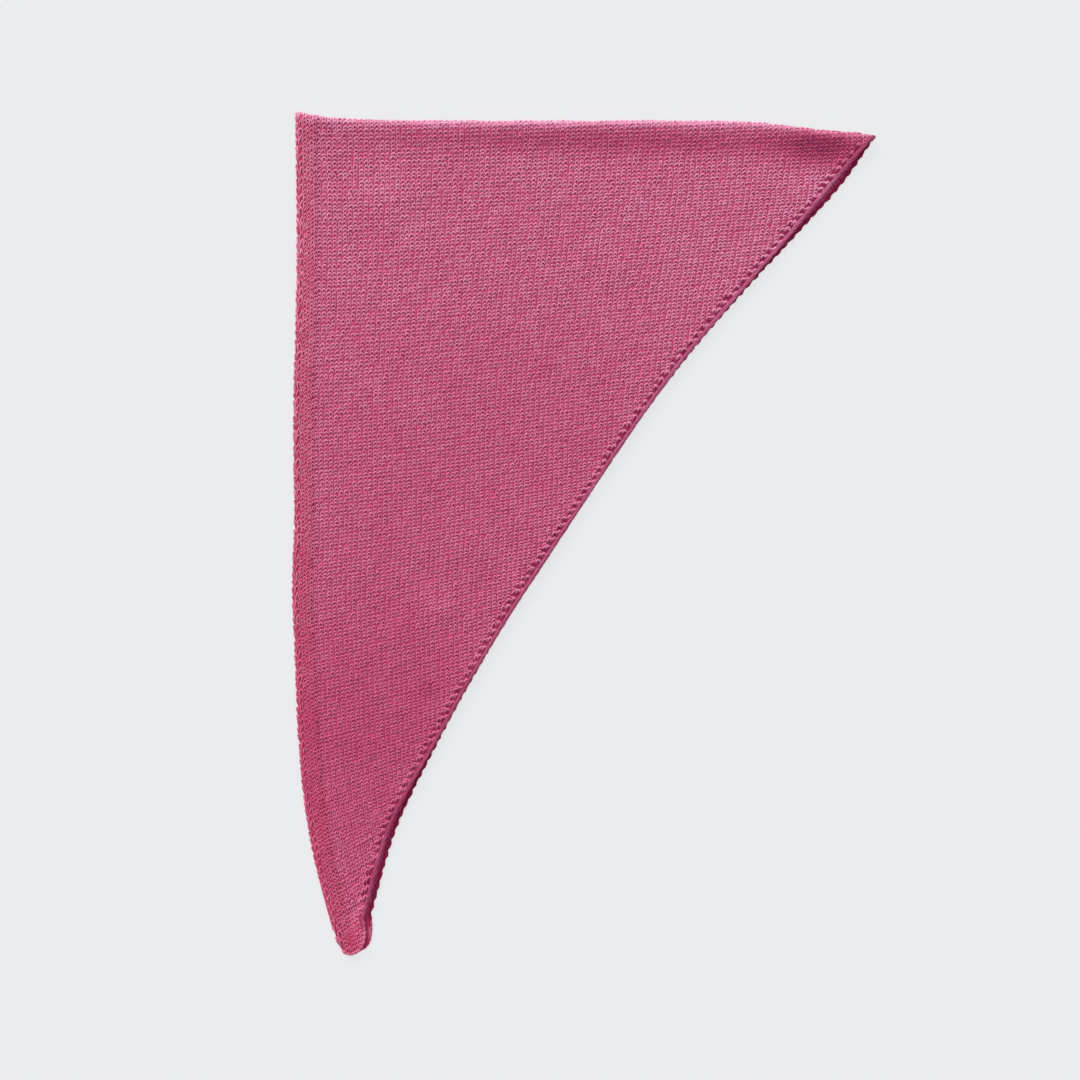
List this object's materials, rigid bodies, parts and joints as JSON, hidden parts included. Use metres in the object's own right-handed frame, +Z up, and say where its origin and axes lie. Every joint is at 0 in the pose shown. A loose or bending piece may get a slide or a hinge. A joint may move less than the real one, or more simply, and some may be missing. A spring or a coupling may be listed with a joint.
{
  "type": "folded knitted triangle shawl",
  "caption": "Knitted triangle shawl, folded once into a long wedge and laid flat, with knitted cord edges.",
  "frame": {"origin": "middle of the folded outline's box, on the surface that the shawl lies on", "axes": "+X along the fold towards the pointed corner, +Y from the tip up to the fold, +Z up"},
  "size_m": [0.4662, 0.6746, 0.0083],
  "materials": {
    "stocking_wool": "soft, slightly fuzzy dusty pink wool in stocking stitch",
    "cord_wool": "the same wool knitted as a cord along each edge"
  },
  "bodies": {
    "root": {"knitted_body": "stocking_wool", "long_edge_cord": "cord_wool", "increase_edge_cord": "cord_wool", "decrease_edge_cord": "cord_wool", "cast_on_end": "cord_wool", "cast_off_end": "cord_wool"}
  },
  "joints": []
}
